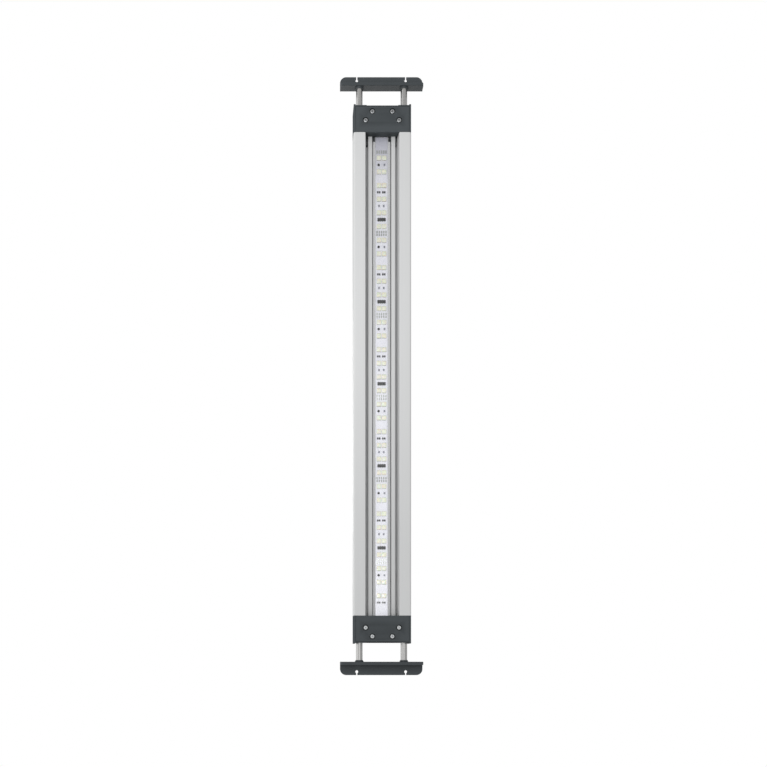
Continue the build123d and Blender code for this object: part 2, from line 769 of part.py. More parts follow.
def stop_screws():
    with BuildPart() as screws:
        with BuildSketch(Plane.YZ.offset(stop_screw_seat)):
            circles(rod_centres, 2.7)
        extrude(amount=-stop_screw_head_t)
        with BuildSketch(Plane.YZ.offset(stop_in - 0.1)):
            circles(rod_centres, 1.25)
        extrude(amount=11.0)
        with BuildSketch(Plane.YZ.offset(stop_screw_seat - stop_screw_head_t)):
            with Locations(*rod_centres):
                cross(2.8, 0.7)
        extrude(amount=0.9, mode=Mode.SUBTRACT)
    return screws.part


# ------------------------------------------------------------------ build and export
# single pieces, saved under their function's name
for build in (housing_profile, thermal_tape, led_board, led_packages, led_phosphors,
              driver_chips, driver_leads, resistors, capacitors, diodes, solder_pads, led_cover,
              inlet_socket, inlet_insert, inlet_contacts, inlet_nut, inlet_seal, solder_joints):
    save(build(), build.__name__)

save(supply_wire(1), "supply_wire_red")
save(supply_wire(-1), "supply_wire_black")

# only the right cap has the inlet hole and the tongues
plain_cap = cap_base()
save(mirrored(plain_cap), "end_cap_left")
save(end_cap_right(plain_cap), "end_cap_right")

# cap fittings, the same at both ends
for build in (cap_cover, cap_cover_screws, cap_gasket, cap_fixing_screws, rod_bushes,
              board_grommet):
    right = build()
    save(right, f"{build.__name__}_right")
    save(mirrored(right), f"{build.__name__}_left")

# the left bracket is the same set of pieces, mirrored, a little further in at rest
rest_shift = Location((gap_left - gap_right, 0, 0))
rear_rod = guide_rod()
bracket_pieces = (
    ("rim_saddle_{}", rim_saddle()),
    ("guide_rod_{}_rear", rear_rod),
    ("guide_rod_{}_front", mirrored(rear_rod, Plane.XZ)),
    ("rod_screws_{}", rod_screws()),
    ("rod_stops_{}", rod_stops()),
    ("stop_screws_{}", stop_screws()),
)
for name, right in bracket_pieces:
    save(right, name.format("right"))
    save(mirrored(right.moved(rest_shift)), name.format("left"))
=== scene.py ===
import json
import math
import bpy
import bmesh
import numpy as np
from mathutils import Vector, Matrix

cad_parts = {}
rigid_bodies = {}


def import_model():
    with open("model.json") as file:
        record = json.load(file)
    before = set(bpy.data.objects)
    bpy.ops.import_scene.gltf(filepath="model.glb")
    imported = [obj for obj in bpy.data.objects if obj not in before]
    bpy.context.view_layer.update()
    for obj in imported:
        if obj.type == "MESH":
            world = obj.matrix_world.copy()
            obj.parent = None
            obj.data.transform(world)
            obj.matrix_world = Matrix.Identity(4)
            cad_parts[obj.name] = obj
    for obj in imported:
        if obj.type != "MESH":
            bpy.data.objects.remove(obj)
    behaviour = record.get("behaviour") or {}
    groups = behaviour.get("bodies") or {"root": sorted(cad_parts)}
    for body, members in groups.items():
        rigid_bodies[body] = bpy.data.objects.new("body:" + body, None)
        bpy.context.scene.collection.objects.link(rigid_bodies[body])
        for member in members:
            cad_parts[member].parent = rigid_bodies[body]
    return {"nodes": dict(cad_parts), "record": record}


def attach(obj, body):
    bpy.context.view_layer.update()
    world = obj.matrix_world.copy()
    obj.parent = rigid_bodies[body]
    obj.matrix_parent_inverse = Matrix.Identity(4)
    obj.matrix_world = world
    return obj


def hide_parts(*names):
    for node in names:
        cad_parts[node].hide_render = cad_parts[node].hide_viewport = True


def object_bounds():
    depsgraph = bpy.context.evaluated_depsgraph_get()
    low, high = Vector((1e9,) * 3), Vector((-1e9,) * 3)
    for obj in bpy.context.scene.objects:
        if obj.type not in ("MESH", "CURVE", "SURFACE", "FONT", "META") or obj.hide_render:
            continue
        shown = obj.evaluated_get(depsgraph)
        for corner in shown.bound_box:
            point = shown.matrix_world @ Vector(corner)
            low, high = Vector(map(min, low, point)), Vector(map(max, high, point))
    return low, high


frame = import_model()
nodes = frame["nodes"]
cad_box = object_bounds()
scene = bpy.context.scene
MM = 0.001


# ------------------------------------------------------------------ node helpers
class Mat:
    """A material with a small set of node shortcuts."""

    def __init__(self, name):
        self.m = bpy.data.materials.new(name)
        self.m.use_nodes = True
        self.t = self.m.node_tree
        self.bsdf = self.t.nodes["Principled BSDF"]
        self.out = self.t.nodes["Material Output"]
        self._co = None

    def n(self, kind, **props):
        node = self.t.nodes.new(kind)
        for k, v in props.items():
            if hasattr(node, k):
                setattr(node, k, v)
            else:
                node.inputs[k.replace("_", " ")].default_value = v
        return node

    def link(self, a, b):
        self.t.links.new(a, b)

    def co(self):
        if self._co is None:
            self._co = self.n("ShaderNodeTexCoord").outputs["Object"]
        return self._co

    def mapping(self, scale, rot=(0, 0, 0), loc=(0, 0, 0)):
        mp = self.n("ShaderNodeMapping")
        mp.inputs["Scale"].default_value = scale
        mp.inputs["Rotation"].default_value = rot
        mp.inputs["Location"].default_value = loc
        self.link(self.co(), mp.inputs["Vector"])
        return mp.outputs["Vector"]

    def noise(self, vec, scale=1.0, detail=3.0, rough=0.55, distortion=0.0):
        t = self.n("ShaderNodeTexNoise")
        t.inputs["Scale"].default_value = scale
        t.inputs["Detail"].default_value = detail
        t.inputs["Roughness"].default_value = rough
        t.inputs["Distortion"].default_value = distortion
        self.link(vec, t.inputs["Vector"])
        return t.outputs["Fac"]

    def voronoi(self, vec, scale=1.0, feature="F1"):
        t = self.n("ShaderNodeTexVoronoi", feature=feature)
        t.inputs["Scale"].default_value = scale
        self.link(vec, t.inputs["Vector"])
        return t.outputs["Distance"]

    def ramp(self, fac, stops):
        r = self.n("ShaderNodeValToRGB")
        el = r.color_ramp.elements
        while len(el) < len(stops):
            el.new(0.5)
        for e, (p, c) in zip(el, stops):
            e.position = p
            e.color = (c, c, c, 1) if isinstance(c, (int, float)) else (*c, 1)
        self.link(fac, r.inputs["Fac"])
        return r.outputs["Color"]

    def math(self, op, a, b=None, c=None, clamp=False):
        m = self.n("ShaderNodeMath", operation=op, use_clamp=clamp)
        for i, v in enumerate((a, b, c)):
            if v is None:
                continue
            if isinstance(v, (int, float)):
                m.inputs[i].default_value = v
            else:
                self.link(v, m.inputs[i])
        return m.outputs["Value"]

    def mix(self, fac, a, b, blend="MIX"):
        m = self.n("ShaderNodeMix", data_type="RGBA", blend_type=blend)
        for i, v in ((0, fac), (6, a), (7, b)):
            if isinstance(v, (int, float)) and i == 0:
                m.inputs[i].default_value = v
            elif isinstance(v, (tuple, list)):
                m.inputs[i].default_value = (*v, 1)
            elif isinstance(v, (int, float)):
                m.inputs[i].default_value = (v, v, v, 1)
            else:
                self.link(v, m.inputs[i])
        return m.outputs[2]

    def maprange(self, v, a, b, c, d):
        m = self.n("ShaderNodeMapRange")
        for k, x in (("From Min", a), ("From Max", b), ("To Min", c), ("To Max", d)):
            m.inputs[k].default_value = x
        self.link(v, m.inputs["Value"])
        return m.outputs["Result"]

    def bump(self, height, strength=0.2, distance=0.0001, chain=None):
        b = self.n("ShaderNodeBump")
        b.inputs["Strength"].default_value = strength
        b.inputs["Distance"].default_value = distance
        self.link(height, b.inputs["Height"])
        if chain is not None:
            self.link(chain, b.inputs["Normal"])
        return b.outputs["Normal"]

    def edge(self, lo=0.50, hi=0.56):
        """1 on convex edges, 0 on flats."""
        g = self.n("ShaderNodeNewGeometry")
        return self.maprange(g.outputs["Pointiness"], lo, hi, 0.0, 1.0)

    def ao(self, distance=0.02, power=1.0, floor=0.0):
        """1 in the open, falling towards floor in grooves and corners."""
        a = self.n("ShaderNodeAmbientOcclusion", samples=8, only_local=False)
        a.inputs["Distance"].default_value = distance
        v = self.math("POWER", a.outputs["AO"], power)
        return self.maprange(v, 0.0, 1.0, floor, 1.0)

    def sep(self, vec=None):
        s = self.n("ShaderNodeSeparateXYZ")
        self.link(vec or self.co(), s.inputs[0])
        return s.outputs

    def set(self, **kw):
        for k, v in kw.items():
            key = k.replace("_", " ")
            sock = self.bsdf.inputs[key]
            if isinstance(v, (int, float)):
                sock.default_value = v
            elif isinstance(v, (tuple, list)):
                sock.default_value = (*v, 1) if len(v) == 3 and sock.type == "RGBA" else v
            else:
                self.link(v, sock)
        return self


def srgb(r, g, b):
    def f(c):
        c = c / 255.0
        return c / 12.92 if c <= 0.04045 else ((c + 0.055) / 1.055) ** 2.4
    return (f(r), f(g), f(b))


# ------------------------------------------------------------------ materials
def m_aluminium():
    """Etched and anodised extrusion: satin, with faint drawn lines along it and painted shade darkening the rails and
    grooves.
    """
    k = Mat("anodised_aluminium")
    lines = k.noise(k.mapping((6, 2600, 2600)), 1.0, 4.0, 0.6)      # drawn lines, along the extrusion
    fine = k.noise(k.mapping((40, 9000, 9000)), 1.0, 2.0, 0.5)
    grain = k.noise(k.mapping((5200, 5200, 5200)), 1.0, 2.0, 0.6)   # etched anodised grain
    cloud = k.noise(k.mapping((9, 30, 30)), 1.0, 3.0, 0.5)
    base = k.mix(k.ramp(cloud, [(0.3, 0.0), (0.7, 1.0)]), srgb(213, 213, 212), srgb(218, 218, 217))
    base = k.mix(k.math("MULTIPLY", k.ramp(lines, [(0.35, 0.0), (0.7, 1.0)]), 0.25), base, srgb(200, 200, 200))
    # painted highlight: convex edges are painted lighter
    base = k.mix(k.math("MULTIPLY", k.edge(0.505, 0.56), 0.5), base, srgb(232, 233, 234))
    # painted shade: ambient occlusion, multiplied into the base colour below
    shade = k.ao(0.030, 1.0, 0.0)
    # painted shade: the AO term darkens the base colour over the rails and grooves between |Y| 10.7 and 18.45 mm; it is
    # mostly lifted in the slot beside the board and out on the wings
    slot_shade_lift = k.maprange(k.math("ABSOLUTE", k.sep()[1]), 0.0103, 0.0107, 0.85, 0.0)
    wing_shade_lift = k.maprange(k.math("ABSOLUTE", k.sep()[1]), 0.01845, 0.0188, 0.0, 0.85)
    shade = k.math("MAXIMUM", shade, k.math("MAXIMUM", slot_shade_lift, wing_shade_lift))
    base = k.mix(1.0, base, k.mix(shade, (0.74, 0.74, 0.745), (1.0, 1.0, 1.0)), "MULTIPLY")
    rough = k.math("ADD", k.maprange(lines, 0.3, 0.7, 0.44, 0.54), k.maprange(grain, 0.3, 0.7, -0.02, 0.03))
    nrm = k.bump(lines, 0.10, 0.00002)
    nrm = k.bump(fine, 0.06, 0.00001, nrm)
    nrm = k.bump(grain, 0.10, 0.00001, nrm)
    k.set(Base_Color=base, Metallic=0.14, Roughness=rough, Normal=nrm)
    k.bsdf.inputs["Specular IOR Level"].default_value = 0.35
    return k.m


def m_moulded(name, tone=1.0, seed=0.0):
    """Slate-grey glass-filled plastic with a fine eroded texture."""
    k = Mat(name)
    v = k.mapping((1, 1, 1), loc=(seed, seed * 0.7, 0))
    grain = k.noise(v, 2600, 3.0, 0.65)
    pits = k.voronoi(v, 1700)
    mottled = k.noise(v, 55, 4.0, 0.6)
    a, b = srgb(49, 54, 57), srgb(56, 61, 64)
    base = k.mix(k.ramp(mottled, [(0.32, 0.0), (0.68, 1.0)]), tuple(c * tone for c in a), tuple(c * tone for c in b))
    base = k.mix(k.math("MULTIPLY", k.ramp(grain, [(0.45, 0.0), (0.75, 1.0)]), 0.30), base, srgb(84, 90, 94))
    # painted highlight: convex edges are painted lighter
    base = k.mix(k.math("MULTIPLY", k.edge(0.51, 0.58), 0.35), base, srgb(98, 104, 108))
    # painted shade: ambient occlusion darkens the base colour in corners and recesses
    base = k.mix(1.0, base, k.mix(k.ao(0.012, 1.0, 0.25), (0.25, 0.25, 0.25), (1.0, 1.0, 1.0)), "MULTIPLY")
    rough = k.maprange(grain, 0.3, 0.7, 0.48, 0.62)
    nrm = k.bump(pits, 0.16, 0.00004)
    nrm = k.bump(grain, 0.22, 0.00004, nrm)
    k.set(Base_Color=base, Roughness=rough, Normal=nrm)
    lw = k.n("ShaderNodeLayerWeight")
    lw.inputs["Blend"].default_value = 0.5
    k.link(k.maprange(lw.outputs["Facing"], 0.55, 0.92, 0.36, 0.0), k.bsdf.inputs["Specular IOR Level"])
    return k.m


def m_rod():
    """Centreless-ground stainless bar: faint rings across, faint slide marks along."""
    k = Mat("ground_steel_rod")
    rings = k.noise(k.mapping((5200, 60, 60)), 1.0, 3.0, 0.6)
    slide = k.noise(k.mapping((8, 2200, 2200)), 1.0, 3.0, 0.6)
    tint = k.noise(k.mapping((20, 20, 20)), 1.0, 2.0, 0.5)
    base = k.mix(k.ramp(tint, [(0.3, 0.0), (0.7, 1.0)]), srgb(196, 195, 194), srgb(206, 205, 203))
    base = k.mix(k.math("MULTIPLY", k.ramp(slide, [(0.55, 0.0), (0.75, 1.0)]), 0.35), base, srgb(168, 168, 168))
    rough = k.math("ADD", k.maprange(rings, 0.3, 0.7, 0.20, 0.30), k.maprange(slide, 0.4, 0.8, 0.0, 0.08))
    nrm = k.bump(rings, 0.10, 0.00001)
    nrm = k.bump(slide, 0.05, 0.00001, nrm)
    k.set(Base_Color=base, Metallic=1.0, Roughness=rough, Normal=nrm)
    return k.m


def m_screw():
    k = Mat("zinc_screw")
    v = k.mapping((1, 1, 1))
    spots = k.noise(v, 900, 3.0, 0.6)
    scr = k.noise(k.mapping((4000, 900, 4000), rot=(0, 0, 0.5)), 1.0, 2.0, 0.6)
    base = k.mix(k.ramp(spots, [(0.3, 0.0), (0.7, 1.0)]), srgb(176, 179, 182), srgb(204, 206, 207))
    # painted highlight: convex edges are painted near white
    base = k.mix(k.math("MULTIPLY", k.edge(0.51, 0.6), 0.4), base, srgb(235, 236, 236))
    # painted shade: ambient occlusion darkens the base colour in the recess and under the head
    base = k.mix(1.0, base, k.mix(k.ao(0.004, 1.0, 0.0), (0.35, 0.35, 0.35), (1.0, 1.0, 1.0)), "MULTIPLY")
    rough = k.maprange(scr, 0.3, 0.7, 0.22, 0.36)
    k.set(Base_Color=base, Metallic=0.95, Roughness=rough, Normal=k.bump(scr, 0.15, 0.00002))
    return k.m


def m_board():
    """White solder mask over copper traces: faint raised tracks and gaps."""
    k = Mat("white_solder_mask")
    x, y, z = k.sep()
    blot = k.noise(k.mapping((300, 300, 300)), 1.0, 3.0, 0.5)
    # long copper pours along the board, split by narrow gaps, and cross tracks at each LED row
    gap = k.math("ABSOLUTE", k.math("SUBTRACT", k.math("FRACT", k.math("MULTIPLY", k.math("ADD", y, 0.5), 1 / 0.0031)), 0.5))
    gap_line = k.maprange(gap, 0.0, 0.05, 1.0, 0.0)
    cross = k.math("ABSOLUTE", k.math("SUBTRACT", k.math("FRACT", k.math("MULTIPLY", k.math("ADD", x, 0.525), 60.0)), 0.5))
    cross_line = k.maprange(cross, 0.12, 0.135, 1.0, 0.0)
    track = k.math("MULTIPLY", gap_line, cross_line)
    weave = k.noise(k.mapping((1600, 1600, 1600)), 1.0, 2.0, 0.5)
    base = k.mix(k.ramp(blot, [(0.3, 0.0), (0.7, 1.0)]), srgb(232, 232, 240), srgb(239, 239, 245))
    base = k.mix(k.math("MULTIPLY", track, 0.35), base, srgb(212, 214, 220))
    # painted shade: the board darkens towards the +X end, where the end cap shades it
    base = k.mix(k.maprange(x, 0.235, 0.29, 0.0, 1.0), base, k.mix(1.0, base, srgb(206, 206, 211), "MULTIPLY"))
    nrm = k.bump(k.math("MULTIPLY", track, -1.0), 0.5, 0.00004)
    nrm = k.bump(weave, 0.06, 0.00002, nrm)
    k.set(Base_Color=base, Roughness=k.maprange(weave, 0.3, 0.7, 0.30, 0.42), Normal=nrm)
    k.bsdf.inputs["Coat Weight"].default_value = 0.2
    k.bsdf.inputs["Coat Roughness"].default_value = 0.25
    return k.m


def m_led_body():
    k = Mat("led_package_body")
    v = k.mapping((1, 1, 1))
    g = k.noise(v, 1800, 3.0, 0.6)
    base = k.mix(k.ramp(g, [(0.3, 0.0), (0.7, 1.0)]), srgb(226, 225, 206), srgb(234, 233, 216))
    k.set(Base_Color=base, Roughness=k.maprange(g, 0.3, 0.7, 0.32, 0.45), Normal=k.bump(g, 0.12, 0.00002))
    k.bsdf.inputs["Subsurface Weight"].default_value = 0.12
    k.bsdf.inputs["Subsurface Scale"].default_value = 0.0006
    return k.m


def m_phosphor():
    """Silicone filled with phosphor powder: cream with a faint green-yellow cast, each a little different."""
    k = Mat("phosphor_silicone")
    v = k.mapping((1, 1, 1))
    powder = k.noise(v, 4200, 3.0, 0.7)
    cell = k.noise(k.mapping((90, 150, 1)), 1.0, 0.0, 0.0)
    base = k.mix(k.ramp(cell, [(0.35, 0.0), (0.65, 1.0)]), srgb(235, 234, 213), srgb(241, 239, 222))
    base = k.mix(k.math("MULTIPLY", k.ramp(powder, [(0.45, 0.0), (0.7, 1.0)]), 0.35), base, srgb(246, 245, 232))
    k.set(Base_Color=base, Roughness=k.maprange(powder, 0.3, 0.7, 0.22, 0.34), Normal=k.bump(powder, 0.08, 0.00002))
    k.bsdf.inputs["Subsurface Weight"].default_value = 0.25
    k.bsdf.inputs["Subsurface Scale"].default_value = 0.0008
    k.bsdf.inputs["Coat Weight"].default_value = 0.4
    k.bsdf.inputs["Coat Roughness"].default_value = 0.12
    return k.m


def m_plain(name, lo, hi, rough=(0.4, 0.6), scale=1500, metallic=0.0, bump=0.15, coat=0.0, edge=None):
    """Fine-grained material with two tones, roughness variation and relief at the given grain (per metre)."""
    k = Mat(name)
    v = k.mapping((1, 1, 1))
    g = k.noise(v, scale, 3.0, 0.6)
    c = k.noise(v, scale / 18.0, 3.0, 0.55)
    base = k.mix(k.ramp(c, [(0.3, 0.0), (0.7, 1.0)]), lo, hi)
    # painted highlight: when given, the edge colour lightens convex edges
    if edge:
        base = k.mix(k.math("MULTIPLY", k.edge(0.51, 0.58), 0.5), base, edge)
    k.set(Base_Color=base, Metallic=metallic, Roughness=k.maprange(g, 0.3, 0.7, *rough), Normal=k.bump(g, bump, 0.00003))
    if coat:
        k.bsdf.inputs["Coat Weight"].default_value = coat
        k.bsdf.inputs["Coat Roughness"].default_value = 0.15
    return k.m


def m_clear():
    """Clear extruded cover: mostly see-through, with a faint drawn texture and a cool edge tint."""
    k = Mat("clear_cover")
    lines = k.noise(k.mapping((4, 900, 900)), 1.0, 3.0, 0.5)
    dust = k.noise(k.mapping((700, 700, 700)), 1.0, 3.0, 0.7)
    nrm = k.bump(lines, 0.10, 0.00002)
    fres = k.n("ShaderNodeFresnel")
    fres.inputs["IOR"].default_value = 1.48
    k.link(nrm, fres.inputs["Normal"])
    glossy = k.n("ShaderNodeBsdfGlossy")
    glossy.inputs["Roughness"].default_value = 0.08
    k.link(nrm, glossy.inputs["Normal"])
    clear = k.n("ShaderNodeBsdfTransparent")
    tint = k.mix(k.ramp(dust, [(0.40, 0.0), (0.75, 1.0)]), (1.0, 1.0, 1.0), (0.985, 0.988, 0.992))
    k.link(tint, clear.inputs["Color"])
    hz = k.n("ShaderNodeBsdfDiffuse")
    hz.inputs["Color"].default_value = (0.86, 0.88, 0.90, 1)
    m0 = k.n("ShaderNodeMixShader")
    k.link(k.maprange(dust, 0.4, 0.8, 0.006, 0.02), m0.inputs[0])
    k.link(clear.outputs[0], m0.inputs[1])
    k.link(hz.outputs[0], m0.inputs[2])
    m1 = k.n("ShaderNodeMixShader")
    k.link(k.math("MULTIPLY", fres.outputs[0], 0.45), m1.inputs[0])
    k.link(m0.outputs[0], m1.inputs[1])
    k.link(glossy.outputs[0], m1.inputs[2])
    k.link(m1.outputs[0], k.out.inputs["Surface"])
    return k.m


MATS = {
    "housing": m_aluminium(),
    "cap": m_moulded("slate_moulding_cap", 1.0, 0.0),
    "saddle": m_moulded("slate_moulding_saddle", 0.97, 3.1),
    "screw": m_screw(),
    "rod": m_rod(),
    "board": m_board(),
    "led_body": m_led_body(),
    "phosphor": m_phosphor(),
    "clear_cover": m_clear(),
    "seal": m_plain("black_rubber", srgb(28, 29, 30), srgb(38, 39, 40), (0.62, 0.8), 1900, bump=0.25),
    "bush": m_plain("natural_polymer_bush", srgb(198, 194, 180), srgb(210, 206, 192), (0.38, 0.5), 1700, bump=0.08),
    "tape": m_plain("thermal_tape", srgb(206, 210, 214), srgb(218, 221, 224), (0.6, 0.75), 1300, bump=0.2),
    # the chip's edge colour is a painted highlight on its convex edges
    "chip": m_plain("black_epoxy", srgb(30, 30, 31), srgb(42, 42, 43), (0.45, 0.62), 3200, bump=0.25, edge=srgb(70, 70, 70)),
    "tin": m_plain("tinned_solder", srgb(158, 160, 160), srgb(186, 188, 186), (0.28, 0.5), 1500, metallic=0.85, bump=0.35),
    "resistor": m_plain("resistor_glaze", srgb(44, 42, 48), srgb(62, 60, 66), (0.25, 0.4), 2600, bump=0.1, coat=0.3),
    "capacitor": m_plain("ceramic_body", srgb(112, 116, 132), srgb(136, 138, 150), (0.4, 0.55), 2600, bump=0.12),
    "inlet": m_plain("nickel_plating", srgb(190, 188, 180), srgb(206, 204, 198), (0.2, 0.32), 1200, metallic=1.0, bump=0.06),
    "nut": m_plain("nickel_nut", srgb(184, 182, 174), srgb(200, 198, 192), (0.24, 0.36), 1200, metallic=1.0, bump=0.08),
    "insert": m_plain("black_insert", srgb(34, 34, 35), srgb(44, 44, 45), (0.4, 0.55), 2200, bump=0.12),
    "contact": m_plain("gold_contact", srgb(214, 176, 98), srgb(226, 190, 116), (0.18, 0.28), 1500, metallic=1.0, bump=0.05),
    "wire_red": m_plain("red_insulation", srgb(150, 22, 20), srgb(170, 30, 26), (0.34, 0.46), 1400, bump=0.08),
    "wire_black": m_plain("black_insulation", srgb(28, 28, 29), srgb(38, 38, 39), (0.34, 0.46), 1400, bump=0.08),
}

slot_of = {s["node"]: s["material_slot"] for s in frame["record"]["subparts"]}
for name, ob in nodes.items():
    mat = MATS[slot_of[name]]
    if not ob.material_slots:
        ob.data.materials.append(mat)
    for sl in ob.material_slots:
        sl.material = mat


# ------------------------------------------------------------------ geometry helpers
def islands(node):
    """Lowest and highest corner of each separate solid of a CAD node, sorted along X then Y."""
    me = nodes[node].data
    co = np.zeros(len(me.vertices) * 3)
    me.vertices.foreach_get("co", co)
    co = co.reshape(-1, 3)
    key, ids = {}, []
    for p in np.round(co, 6):
        ids.append(key.setdefault(tuple(p), len(key)))
    parent = list(range(len(key)))

    def find(a):
        while parent[a] != a:
            parent[a] = parent[parent[a]]
            a = parent[a]
        return a

    for poly in me.polygons:
        vs = [find(ids[v]) for v in poly.vertices]
        for b in vs[1:]:
            parent[find(b)] = find(vs[0])
    groups = {}
    for i, p in enumerate(co):
        groups.setdefault(find(ids[i]), []).append(p)
    out = [(Vector(np.min(g, 0)), Vector(np.max(g, 0))) for g in groups.values()]
    return sorted(out, key=lambda b: (round(b[0].x, 5), round(b[0].y, 5)))


def new_object(name, bm, mat, body, smooth_angle=35):
    me = bpy.data.meshes.new(name)
    bmesh.ops.recalc_face_normals(bm, faces=bm.faces)
    bm.to_mesh(me)
    bm.free()
    for p in me.polygons:
        p.use_smooth = True
    me.set_sharp_from_angle(angle=math.radians(smooth_angle))
    ob = bpy.data.objects.new(name, me)
    scene.collection.objects.link(ob)
    me.materials.append(mat)
    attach(ob, body)
    return ob


def add_block(bm, lo, hi, bevel=0.0, segments=2):
    """A closed block with rounded edges, added to bm."""
    part = bmesh.new()
    bmesh.ops.create_cube(part, size=1.0)
    size = hi - lo
    for v in part.verts:
        v.co = Vector((lo[i] + (v.co[i] + 0.5) * size[i] for i in range(3)))
    if bevel:
        bmesh.ops.bevel(part, geom=part.edges[:] + part.verts[:], offset=bevel, segments=segments, affect="EDGES", profile=0.6)
    tmp = bpy.data.meshes.new("tmp")
    part.to_mesh(tmp)
    part.free()
    bm.from_mesh(tmp)
    bpy.data.meshes.remove(tmp)


# solder lands and terminals: small shaped pieces on the board around the CAD components
def led_terminals():
    bm = bmesh.new()
    for lo, hi in islands("led_packages"):
        c = (lo + hi) / 2
        for sx in (1, -1):
            edge_x = hi.x if sx > 0 else lo.x
            for dy in (-1.6 * MM, 0.0, 1.6 * MM):
                a = Vector((min(edge_x, edge_x + sx * 0.42 * MM), c.y + dy - 0.45 * MM, hi.z - 0.42 * MM))
                b = Vector((max(edge_x, edge_x + sx * 0.42 * MM), c.y + dy + 0.45 * MM, hi.z + 0.004 * MM))
                add_block(bm, a, b, 0.12 * MM, 2)
    return new_object("led_terminals", bm, MATS["tin"], "housing")


def end_terminals(node, name, axis):
    """Tinned end caps on two-terminal chips, slightly proud of the body."""
    bm = bmesh.new()
    for lo, hi in islands(node):
        lo, hi = Vector(lo), Vector(hi)
        g = 0.03 * MM
        for s in (1, -1):
            a, b = Vector((lo.x - g, lo.y - g, lo.z - g)), Vector((hi.x + g, hi.y + g, hi.z))
            t = 0.34 * MM
            if s > 0:
                a[axis] = hi[axis] - t
                b[axis] = hi[axis] + 0.12 * MM
            else:
                a[axis] = lo[axis] - 0.12 * MM
                b[axis] = lo[axis] + t
            add_block(bm, a, b, 0.07 * MM, 2)
    return new_object(name, bm, MATS["tin"], "housing")


def rounded(c):
    """Turns a circle's cosine or sine into that of a rounded square."""
    return math.copysign(abs(c) ** 0.42, c)


def phosphor_domes():
    """Slightly crowned phosphor fills, one per package."""
    bm = bmesh.new()
    for lo, hi in islands("led_phosphors"):
        c = (lo + hi) / 2
        r = (hi.x - lo.x) / 2
        rings = [(1.0, 0.0), (0.985, 0.05), (0.9, 0.10), (0.7, 0.145), (0.4, 0.17)]
        n = 36
        prev = None
        loops = []
        for f, h in rings:
            loop = [bm.verts.new((c.x + r * f * rounded(math.cos(2 * math.pi * i / n)),
                                  c.y + r * f * rounded(math.sin(2 * math.pi * i / n)),
                                  lo.z + 0.12 * MM - h * MM)) for i in range(n)]
            loops.append(loop)
        top = bm.verts.new((c.x, c.y, lo.z + 0.12 * MM - 0.18 * MM))
        base = [bm.verts.new((v.co.x, v.co.y, hi.z)) for v in loops[0]]
        for a, b in [(base, loops[0])] + list(zip(loops, loops[1:])):
            for i in range(n):
                bm.faces.new((a[i], a[(i + 1) % n], b[(i + 1) % n], b[i]))
        for i in range(n):
            bm.faces.new((loops[-1][i], loops[-1][(i + 1) % n], top))
        bm.faces.new(base)
    ob = new_object("phosphor_fills", bm, MATS["phosphor"], "housing", 60)
    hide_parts("led_phosphors")
    return ob


led_terminals()
end_terminals("resistors", "resistor_terminals", 0)
end_terminals("capacitors", "capacitor_terminals", 0)
phosphor_domes()

# ------------------------------------------------------------------ stage, world, lights
lo, hi = cad_box
me = bpy.data.meshes.new("floor")
fb = bmesh.new()
fz = lo.z - 0.0015
vs = [fb.verts.new((x, y, fz)) for x, y in ((-9, -9), (9, -9), (9, 9), (-9, 9))]
fb.faces.new(vs)
fb.to_mesh(me)
fb.free()
floor = bpy.data.objects.new("floor", me)
scene.collection.objects.link(floor)
k = Mat("pale_floor")
k.t.nodes.remove(k.bsdf)
diff = k.n("ShaderNodeBsdfDiffuse")
fn = k.noise(k.mapping((14, 14, 14)), 1.0, 3.0, 0.5)
k.link(k.mix(k.ramp(fn, [(0.3, 0.0), (0.7, 1.0)]), srgb(232, 232, 231), srgb(236, 236, 235)), diff.inputs["Color"])
tr = k.n("ShaderNodeBsdfTransparent")
geo = k.n("ShaderNodeNewGeometry")
ms = k.n("ShaderNodeMixShader")
k.link(geo.outputs["Backfacing"], ms.inputs[0])
k.link(diff.outputs[0], ms.inputs[1])
k.link(tr.outputs[0], ms.inputs[2])
k.link(ms.outputs[0], k.out.inputs["Surface"])
me.materials.append(k.m)
floor.visible_shadow = False
floor.visible_diffuse = False
floor.visible_glossy = False
floor.visible_transmission = False

world = bpy.data.worlds.new("studio")
scene.world = world
world.use_nodes = True
wt = world.node_tree
wt.nodes.clear()


def wn_(kind, **props):
    node = wt.nodes.new(kind)
    for a, b in props.items():
        setattr(node, a, b)
    return node


def wmath(op, a, b=None, clamp=False):
    m = wn_("ShaderNodeMath", operation=op, use_clamp=clamp)
    for i, v in enumerate((a, b)):
        if v is None:
            continue
        if isinstance(v, (int, float)):
            m.inputs[i].default_value = v
        else:
            wt.links.new(v, m.inputs[i])
    return m.outputs[0]


def wsmooth(v, a, b, c, d):
    m = wn_("ShaderNodeMapRange", interpolation_type="SMOOTHSTEP")
    for i, x in ((1, a), (2, b), (3, c), (4, d)):
        m.inputs[i].default_value = x
    wt.links.new(v, m.inputs[0])
    return m.outputs[0]


out = wn_("ShaderNodeOutputWorld")
seen = wn_("ShaderNodeBackground")
seen.inputs["Color"].default_value = (1, 1, 1, 1)
soft = wn_("ShaderNodeBackground")
lp = wn_("ShaderNodeLightPath")
mixw = wn_("ShaderNodeMixShader")
tc = wn_("ShaderNodeTexCoord")
sp = wn_("ShaderNodeSeparateXYZ")
wt.links.new(tc.outputs["Generated"], sp.inputs[0])
gx, gy, gz = sp.outputs
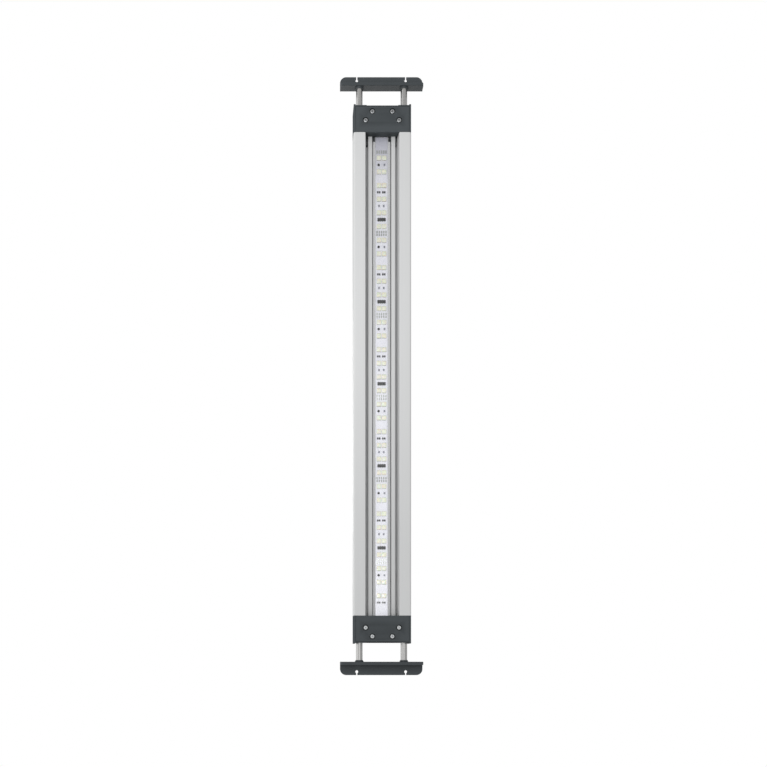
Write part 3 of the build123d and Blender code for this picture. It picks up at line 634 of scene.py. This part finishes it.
# a broad soft box on the -Y side, a weaker one on +Y, an even tent below and above
side = wsmooth(gy, -1.0, -0.35, 1.10, 0.53)
below = wsmooth(gz, -1.0, -0.90, 2.3, 1.0)
along = wsmooth(gx, 0.25, 0.95, 1.0, 0.86)
level = wmath("MULTIPLY", wmath("MULTIPLY", side, below), along)
wt.links.new(level, soft.inputs["Strength"])
soft.inputs["Color"].default_value = (0.995, 1.0, 1.0, 1)
wt.links.new(lp.outputs["Is Camera Ray"], mixw.inputs[0])
wt.links.new(soft.outputs[0], mixw.inputs[1])
wt.links.new(seen.outputs[0], mixw.inputs[2])
wt.links.new(mixw.outputs[0], out.inputs["Surface"])


def softbox(name, loc, target, size, power):
    li = bpy.data.lights.new(name, "AREA")
    li.shape = "RECTANGLE"
    li.size, li.size_y = size
    li.energy = power
    ob = bpy.data.objects.new(name, li)
    scene.collection.objects.link(ob)
    ob.location = loc
    ob.rotation_mode = "QUATERNION"
    ob.rotation_quaternion = (Vector(target) - Vector(loc)).to_track_quat("-Z", "Y")
    ob.visible_camera = False
    return ob


key = softbox("key_below", (0.17, -0.18, -0.50), (0.17, 0, 0), (0.30, 0.30), 0.80)
# a small light for the board's far end only, where the slot would otherwise stay dim
board_light = softbox("board_fill", (-0.25, -0.03, -0.36), (-0.25, 0, 0), (0.10, 0.10), 0.42)
board_light_2 = softbox("board_fill_2", (0.10, -0.03, -0.36), (0.10, 0, 0), (0.10, 0.10), 0.13)
lit = bpy.data.collections.new("board_pieces")
scene.collection.children.link(lit)
for ob in list(scene.objects):
    if ob.type == "MESH" and ob.name in (
            "led_board", "led_packages", "driver_chips", "driver_leads", "resistors", "capacitors", "diodes",
            "solder_pads", "led_terminals", "resistor_terminals", "capacitor_terminals", "phosphor_fills"):
        lit.objects.link(ob)
board_light.light_linking.receiver_collection = lit
board_light_2.light_linking.receiver_collection = lit
softbox("key_above", (0.08, -0.10, 0.75), (0.0, 0, 0), (0.5, 0.5), 2.0)

# ------------------------------------------------------------------ camera
cam_data = bpy.data.cameras.new("camera")
cam = bpy.data.objects.new("camera", cam_data)
scene.collection.objects.link(cam)
scene.camera = cam
PX = 767.0
near = -0.024                       # the lit side's plane
scale = 1.2053e-3                   # metres per pixel on that plane
dist = 884.0 * scale
foot = (302.0, 661.0)               # where the optical axis meets the picture
centre = (382.45, 373.75)           # where the lamp's middle lies
cam.location = ((centre[1] - foot[1]) * scale, (foot[0] - centre[0]) * scale, near - dist)
cam.rotation_mode = "QUATERNION"
cam.rotation_quaternion = Matrix(((0, 1, 0), (1, 0, 0), (0, 0, -1))).to_quaternion()
cam_data.sensor_width = 36.0
cam_data.lens = 884.0 / PX * 36.0
cam_data.clip_start, cam_data.clip_end = 0.01, 100.0
shift = ((PX / 2 - foot[0]) / PX, (foot[1] - PX / 2) / PX)
cam_data.shift_x, cam_data.shift_y = shift
# the off-centre framing belongs to this one camera place only
for path, value in (("shift_x", shift[0]), ("shift_y", shift[1])):
    drv = cam_data.driver_add(path).driver
    drv.type = "SCRIPTED"
    for i, ax in enumerate("XYZ"):
        var = drv.variables.new()
        var.name = "p" + ax.lower()
        var.type = "TRANSFORMS"
        var.targets[0].id = cam
        var.targets[0].transform_type = "LOC_" + ax
        var.targets[0].transform_space = "WORLD_SPACE"
    px_, py_, pz_ = cam.location
    drv.expression = (f"{value:.5f} if abs(px - ({px_:.4f})) + abs(py - ({py_:.4f})) + abs(pz - ({pz_:.4f})) < 0.001 else 0.0")

scene.view_settings.view_transform = "Standard"
scene.view_settings.look = "None"
scene.view_settings.exposure = 0.0
